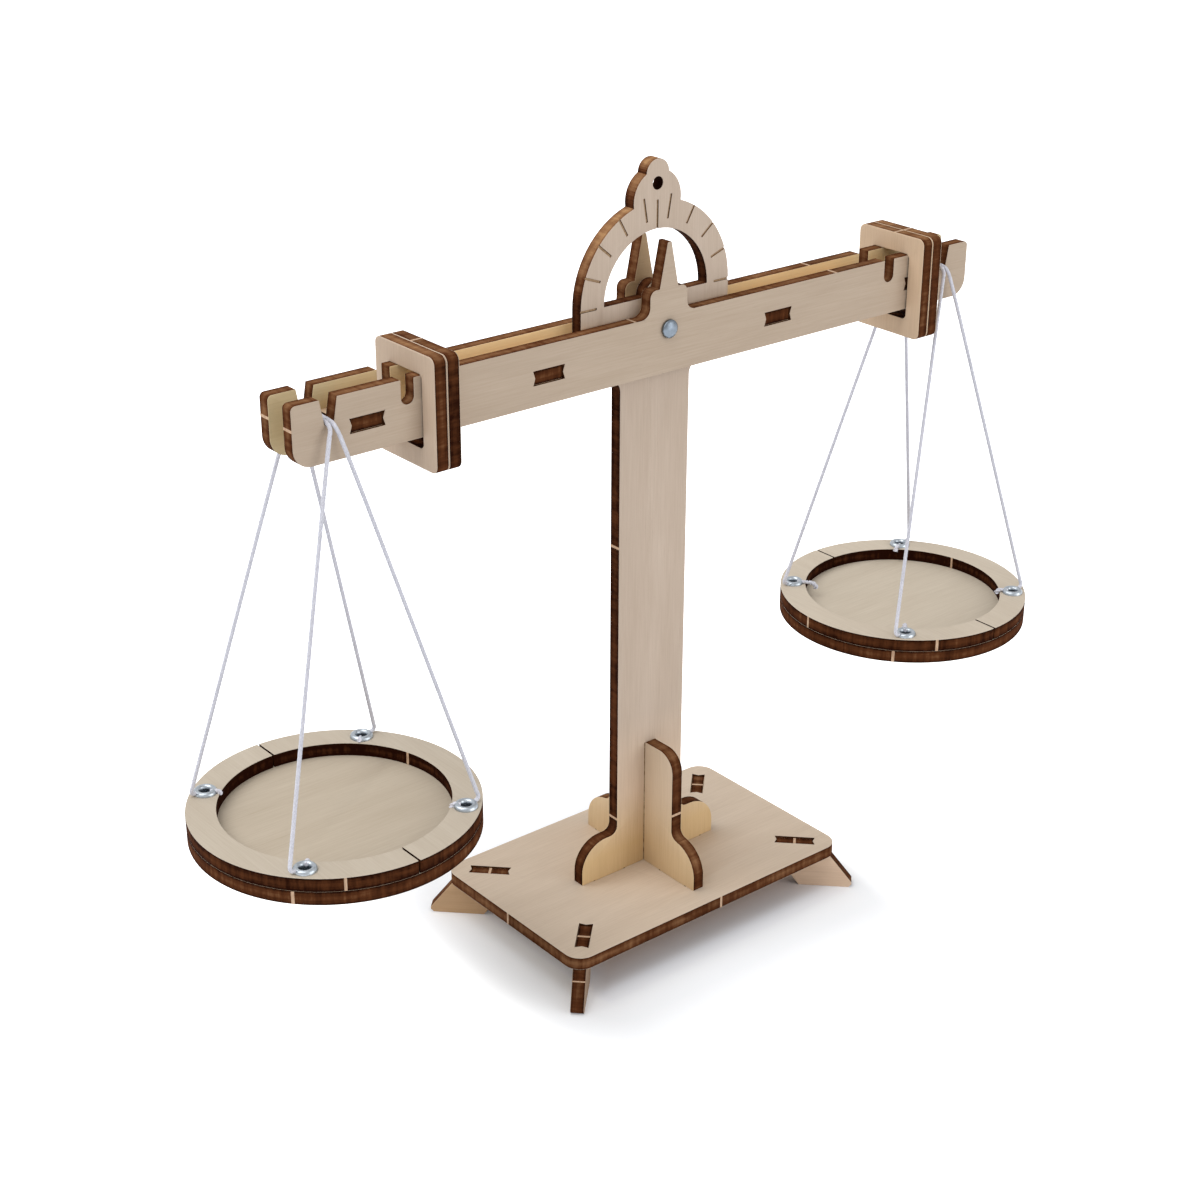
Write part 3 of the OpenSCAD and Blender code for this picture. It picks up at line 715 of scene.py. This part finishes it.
def flattenBoard(piece):  # the CAD node's loose triangles made whole, flat faces
    takeUp(piece)
    bpy.ops.object.mode_set(mode="EDIT")
    bpy.ops.mesh.select_all(action="SELECT")
    bpy.ops.mesh.remove_doubles(threshold=edgePlan["merge"])
    bpy.ops.mesh.dissolve_limited(angle_limit=math.radians(edgePlan["flat"]))
    bpy.ops.object.mode_set(mode="OBJECT")


def breakEdges(piece, width):
    bevel = piece.modifiers.new("brokenEdge", "BEVEL")
    bevel.width, bevel.segments = width, edgePlan["bevelSteps"]
    bevel.limit_method, bevel.angle_limit = "ANGLE", math.radians(edgePlan["bevelAngle"])
    bevel.use_clamp_overlap = False
    takeUp(piece)
    bpy.ops.object.modifier_apply(modifier=bevel.name)


def boardDepth(mesh, through):  # the middle of its thickness, and half of it
    depths = [v.co.dot(through) for v in mesh.vertices]
    return (max(depths) + min(depths)) / 2, (max(depths) - min(depths)) / 2


def burntCorner(node, face):  # where the corner beside a face isn't pale in the photo
    if "_rim_" in node:
        return face.normal.z < 0 or abs(pastJoint(face.center)) < 2 * edgePlan["jointNear"]
    return node.endswith("_disc") and face.normal.z > 0 or node.startswith("rider") and inWindow(face.center)


def finishFaces(node, mesh, through, middle, half):  # each face takes its finish from where it lies and looks
    mesh.materials.clear()
    for key in boardSlots:
        mesh.materials.append(finish[key])
    for face in mesh.polygons:
        facing = abs(face.normal.dot(through))
        level = abs(face.center.dot(through) - middle) / half
        if facing > edgePlan["facing"]:
            key = "face" if level > edgePlan["atSurface"] else "mark"
        else:
            corner = facing > edgePlan["leaning"] and level > edgePlan["atShoulder"]
            key = "face" if corner and not burntCorner(node, face) else "edge"
        face.material_index = boardSlots[key]


boardValues = {
    "boardTone": ("FLOAT_COLOR", "FACE"), "boardLow": ("FLOAT", "FACE"), "boardInside": ("FLOAT", "FACE"),
    "boardPlace": ("FLOAT_VECTOR", "POINT"),
}


def writeValues(node, number, mesh, middle, half):  # what the wood's materials read
    body, through, grain, tint, burnt, lowShare = boardPlan[node]
    for name, (kind, domain) in boardValues.items():
        mesh.attributes.new(name, kind, domain)
    tone, low, inside, place = (mesh.attributes[name].data for name in boardValues)
    for face in mesh.polygons:
        inward = body == "beam" and face.normal.y * face.center.y < -edgePlan["innerSide"]
        tone[face.index].color = (*tint, burntAt(node, face, burnt))
        low[face.index].value = lowShare
        inside[face.index].value = 1 if inward else 0
    across, (shiftX, shiftY) = through.cross(grain), edgePlan["grainShift"]
    for v, entry in zip(mesh.vertices, place):
        entry.vector = (v.co.dot(grain) + shiftX * number, v.co.dot(across) + shiftY * number,
                        (v.co.dot(through) - middle) / half)


def dressBoard(node, number):
    body, through = boardPlan[node][:2]
    piece = copyMesh(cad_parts[node], camelName(node))
    flattenBoard(piece)
    if node.startswith("rider"):
        roundWindow(piece)
    if node == "column_board":
        narrowHole(piece)
    if "_rim_" in node:
        widenJoint(piece)
    breakEdges(piece, edgePlan["riderBevel" if body.endswith("rider") else "bevel"])
    middle, half = boardDepth(piece.data, through)
    finishFaces(node, piece.data, through, middle, half)
    if node in ("column_board", "column_rib"):
        paintSeamShade(piece, through)
    for spot, run, *width in tabMarks.get(node, []):
        snapMark(piece, through, spot, run, *width)
    writeValues(node, number, piece.data, middle, half)
    takeUp(piece)
    bpy.ops.object.shade_smooth_by_angle(angle=math.radians(edgePlan["smooth"]))
    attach(piece, body)
    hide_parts(node)


for number, node in enumerate(boardPlan):
    dressBoard(node, number)
print("boards dressed:", len(boardPlan))


# eyelets and pivot rivet, spun from their profiles

spinPlan = {"merge": 0.000002, "smooth": 40}


def spinProfile(name, profile, around):  # profile of (radius, height), closed, spun about Z
    edges = [(i, (i + 1) % len(profile)) for i in range(len(profile))]
    piece = meshPiece(name, [(r, 0, z) for r, z in profile], [], edges)
    takeUp(piece)
    bpy.ops.object.mode_set(mode="EDIT")
    bpy.ops.mesh.select_all(action="SELECT")
    bpy.ops.mesh.spin(steps=around, angle=math.tau, center=(0, 0, 0), axis=(0, 0, 1))
    bpy.ops.mesh.select_all(action="SELECT")
    bpy.ops.mesh.remove_doubles(threshold=spinPlan["merge"])
    bpy.ops.mesh.normals_make_consistent(inside=False)
    bpy.ops.object.mode_set(mode="OBJECT")
    bpy.ops.object.shade_smooth_by_angle(angle=math.radians(spinPlan["smooth"]))
    return piece


eyeletPlan = {
    "bore": 0.0011, "barrel": 0.00148, "flange": 0.0025, "height": 0.0009, "under": 0.00045,
    "deep": 0.006, "around": 48, "bends": 9,
}


def eyeletProfile():
    plan = eyeletPlan
    middle, reach = (plan["bore"] + plan["flange"]) / 2, (plan["flange"] - plan["bore"]) / 2
    turns = [math.pi * k / plan["bends"] for k in range(plan["bends"] + 1)]
    top = [(middle + reach * math.cos(turn), plan["height"] * math.sin(turn)) for turn in turns]
    low = [(middle - reach * math.cos(turn), -plan["deep"] - plan["under"] * math.sin(turn)) for turn in turns]
    return top + low + [(plan["barrel"], -plan["deep"]), (plan["barrel"], 0)]


def setEyelets():
    model = spinProfile("eyeletModel", eyeletProfile(), eyeletPlan["around"])
    model.data.materials.append(finish["eyelet"])
    for sideName, side in (("left", -1), ("right", 1)):
        for end, sy in (("front", -1), ("back", 1)):
            for edge, away in (("outer", side), ("inner", -side)):
                node = f"{sideName}_eyelet_{end}_{edge}"
                piece = copyMesh(model, camelName(node))
                piece.data.transform(Matrix.Translation(eyeletSpot(side, away, sy)))
                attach(piece, f"{sideName}_pan")
                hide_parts(node)
    bpy.data.objects.remove(model)


setEyelets()
print("eyelets set")

rivetPlan = {
    "pivotZ": 0.1407, "seat": 0.0057, "pin": 0.00125, "head": 0.0020, "rise": 0.0011, "edge": 0.00025,
    "around": 64, "bends": 12,
}


def domeProfile(plan):  # from the head's rim to its crown
    points = [(plan["head"], 0), (plan["head"], plan["edge"])]
    for k in range(1, plan["bends"]):
        turn = math.pi / 2 * k / plan["bends"]
        points.append((plan["head"] * math.cos(turn), plan["edge"] + (plan["rise"] - plan["edge"]) * math.sin(turn)))
    return points + [(0, plan["rise"])]


def setRivet(node, side, shaftEnd):  # side is -1 for the pin's head in front and 1 for the cap behind
    plan = rivetPlan
    profile = domeProfile(plan) + [(0, shaftEnd), (plan["pin"], shaftEnd), (plan["pin"], 0)]
    piece = spinProfile(camelName(node), profile, plan["around"])
    turned = Matrix.Rotation(math.radians(-90 * side), 4, "X")
    piece.data.transform(Matrix.Translation((0, side * plan["seat"], plan["pivotZ"])) @ turned)
    piece.data.materials.append(finish["rivet"])
    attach(piece, "stand")
    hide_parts(node)


setRivet("pivot_pin", -1, -2 * rivetPlan["seat"] - rivetPlan["rise"] / 2)
setRivet("pivot_cap", 1, rivetPlan["rise"] / 2)
print("rivet set")


# floor, light and white surroundings

stagePlan = {
    "floorSize": 6, "floorRoughness": 0.9, "ambient": 0.54, "aim": (0, 0, 0.08),
    "lamps": {
        "keySoftbox": {"power": 8.3, "size": 1.0, "place": (-0.52, 0.18, 0.95)},
        "fillSoftbox": {"power": 3.0, "size": 0.7, "place": (0.40, -0.85, 0.35)},
    },
    # the base's half length and width, how fast its painted shadow and painted light fade past each end, and how far
    # the painted light reaches in under the left end
    "base": (0.0397, 0.0246), "rightPull": 3, "leftPull": 1.6, "leftIn": 0.0076,
    # by distance from the base's edge, 0 at "from" and 1 after "span"
    "from": -0.012, "span": 0.060,
    # the floor's colour, darker towards and under the base: painted shadow
    "floorAndPaintedShadow": [(0.0, (0.58, 0.50, 0.48)), (0.067, (0.62, 0.56, 0.55)), (0.133, (0.70, 0.68, 0.70)),
                   (0.20, (0.86, 0.88, 0.93)), (0.30, (0.90, 0.92, 0.95))],
    # glow where seen directly, rising away from the base: painted light that fades its shadow and the pans' shadows
    # out, white further off
    "glow": [(0.20, 0.0), (0.267, 0.08), (0.40, 0.09), (0.533, 0.20), (0.60, 0.28),
             (0.70, 0.50), (0.85, 0.80), (0.94, 0.96), (1.0, 1.0)],
}


def seenDirectly(nodes, links):  # 1 where the camera, a reflection or glass looks straight at it
    path = nodes.new("ShaderNodeLightPath").outputs
    seen = math2(nodes, links, "MAXIMUM", path["Is Camera Ray"], path["Is Glossy Ray"])
    return math2(nodes, links, "MAXIMUM", seen, path["Is Transmission Ray"])


def awayFromBase(nodes, links):  # distance from the base plate's outline, below zero under it
    spot = splitPlace(nodes, links, objectPlace(nodes))
    halfX, halfY = stagePlan["base"]
    pastY = math2(nodes, links, "SUBTRACT", math2(nodes, links, "ABSOLUTE", spot["Y"], 0), halfY)
    pastRight = math2(nodes, links, "SUBTRACT", spot["X"], halfX)
    # the painted light reaches in under the left end
    pastLeft = math2(nodes, links, "SUBTRACT", stagePlan["leftIn"] - halfX, spot["X"])
    outRight = share(nodes, links, math2(nodes, links, "MAXIMUM", pastRight, 0), stagePlan["rightPull"])
    outLeft = share(nodes, links, math2(nodes, links, "MAXIMUM", pastLeft, 0), stagePlan["leftPull"])
    outX = total(nodes, links, outRight, outLeft)
    outY = math2(nodes, links, "MAXIMUM", pastY, 0)
    squares = total(nodes, links, math2(nodes, links, "POWER", outX, 2), math2(nodes, links, "POWER", outY, 2))
    nearest = math2(nodes, links, "MAXIMUM", math2(nodes, links, "MAXIMUM", pastRight, pastLeft), pastY)
    under = math2(nodes, links, "MINIMUM", nearest, 0)
    signed = total(nodes, links, math2(nodes, links, "POWER", squares, 0.5), under)
    return between(nodes, links, signed, stagePlan["from"], stagePlan["from"] + stagePlan["span"])


def makeFloor():
    clearSelection()
    bpy.ops.mesh.primitive_plane_add(size=stagePlan["floorSize"], location=(0, 0, 0))
    floor = bpy.context.object
    floor.name = "paleFloor"
    material, nodes, links, shader = startMaterial("paleFloor")
    shader.inputs["Roughness"].default_value = stagePlan["floorRoughness"]
    shader.inputs["Specular IOR Level"].default_value = 0
    shader.inputs["Emission Color"].default_value = (1, 1, 1, 1)
    away = awayFromBase(nodes, links)
    # painted shadow: the floor darker towards and under the base
    links.new(ramp(nodes, links, away, stagePlan["floorAndPaintedShadow"]), shader.inputs["Base Color"])
    # painted light: the glow fades the shadows out away from the base
    glow = share(nodes, links, seenDirectly(nodes, links), ramp(nodes, links, away, stagePlan["glow"]))
    links.new(glow, shader.inputs["Emission Strength"])
    floor.data.materials.append(material)


def makeSurroundings():  # white where it's seen directly, and dimmer as a light on the object
    world = bpy.data.worlds.new("whiteRoom")
    world.use_nodes = True
    bpy.context.scene.world = world
    nodes, links = world.node_tree.nodes, world.node_tree.links
    ambient = stagePlan["ambient"]
    strength = total(nodes, links, share(nodes, links, seenDirectly(nodes, links), 1 - ambient), ambient)
    nodes["Background"].inputs["Color"].default_value = (1, 1, 1, 1)
    links.new(strength, nodes["Background"].inputs["Strength"])


def addSoftbox(name, power, size, place):
    clearSelection()
    bpy.ops.object.light_add(type="AREA", location=place)
    lamp = bpy.context.object
    lamp.name = name
    lamp.data.energy, lamp.data.size = power, size
    lamp.rotation_euler = (Vector(stagePlan["aim"]) - Vector(place)).to_track_quat("-Z", "Y").to_euler()


makeFloor()
makeSurroundings()
for name, lamp in stagePlan["lamps"].items():
    addSoftbox(name, **lamp)
bpy.context.scene.view_settings.view_transform = "Standard"
print("stage lit")
